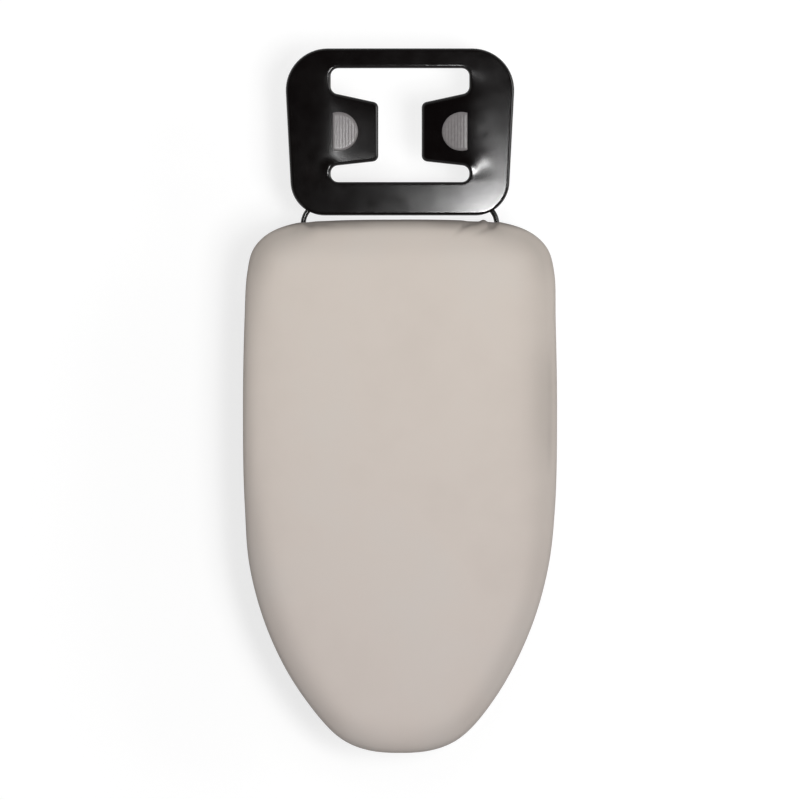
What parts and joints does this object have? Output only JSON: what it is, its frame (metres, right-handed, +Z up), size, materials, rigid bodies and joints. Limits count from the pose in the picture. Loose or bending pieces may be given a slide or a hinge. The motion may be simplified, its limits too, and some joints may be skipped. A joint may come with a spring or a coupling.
{
  "type": "tabletop ironing board",
  "caption": "Tabletop ironing board with a rounded nose, a padded cloth cover on a mesh deck, folding U-shaped legs and a pressed steel iron rest with heat pads at the heel.",
  "frame": {"origin": "on the table top, under the middle of the overall box", "axes": "+Z up; the nose points to -Y and the iron rest to +Y; X runs across the board"},
  "size_m": [0.33, 0.741, 0.1879],
  "materials": {
    "cover_cloth": "coated cotton, matt",
    "felt": "pressed felt",
    "elastic": "woven elastic tape",
    "galvanised_mesh": "galvanised, dull",
    "zinc_steel": "zinc plated",
    "nylon": "natural nylon",
    "foot_rubber": "matt rubber",
    "rest_silicone": "matt silicone, fine ribs",
    "black_enamel": "gloss black enamel",
    "black_paint": "satin black powder coat"
  },
  "bodies": {
    "deck": {"centre_rail": "black_paint", "cover": "cover_cloth", "felt_underlay": "felt", "front_bracket_left": "black_paint", "front_bracket_right": "black_paint", "front_pin_left": "zinc_steel", "front_pin_right": "zinc_steel", "front_rail": "black_paint", "front_rivet_left_1": "zinc_steel", "front_rivet_left_2": "zinc_steel", "front_rivet_right_1": "zinc_steel", "front_rivet_right_2": "zinc_steel", "heel_rail": "black_paint", "hem_elastic": "elastic", "mesh_deck": "galvanised_mesh", "rear_bracket_left": "black_paint", "rear_bracket_right": "black_paint", "rear_pin_left": "zinc_steel", "rear_pin_right": "zinc_steel", "rear_rail": "black_paint", "rear_rivet_left_1": "zinc_steel", "rear_rivet_left_2": "zinc_steel", "rear_rivet_right_1": "zinc_steel", "rear_rivet_right_2": "zinc_steel", "rest_hoop": "black_enamel", "rest_pad_left": "rest_silicone", "rest_pad_right": "rest_silicone", "rest_plate": "black_enamel", "rest_saddle_far_left": "black_enamel", "rest_saddle_far_right": "black_enamel", "rest_saddle_side_left": "black_enamel", "rest_saddle_side_right": "black_enamel", "rim_tube": "black_paint", "rod_clip_heel_left": "black_paint", "rod_clip_heel_right": "black_paint", "rod_clip_rear_left": "black_paint", "rod_clip_rear_right": "black_paint"},
    "front_leg": {"front_foot_left": "foot_rubber", "front_foot_right": "foot_rubber", "front_leg": "black_paint", "front_washer_left_inner": "nylon", "front_washer_left_outer": "nylon", "front_washer_right_inner": "nylon", "front_washer_right_outer": "nylon"},
    "rear_leg": {"rear_foot_left": "foot_rubber", "rear_foot_right": "foot_rubber", "rear_leg": "black_paint", "rear_washer_left_inner": "nylon", "rear_washer_left_outer": "nylon", "rear_washer_right_inner": "nylon", "rear_washer_right_outer": "nylon"}
  },
  "joints": [
    {"name": "front_leg_fold", "type": "hinge", "parent": "deck", "child": "front_leg", "pos_m": [0, -0.2205, 0.14494], "axis": [1, 0, 0], "range_deg": [0, 102]},
    {"name": "rear_leg_fold", "type": "hinge", "parent": "deck", "child": "rear_leg", "pos_m": [0, 0.0835, 0.14494], "axis": [-1, 0, 0], "range_deg": [0, 102]}
  ]
}
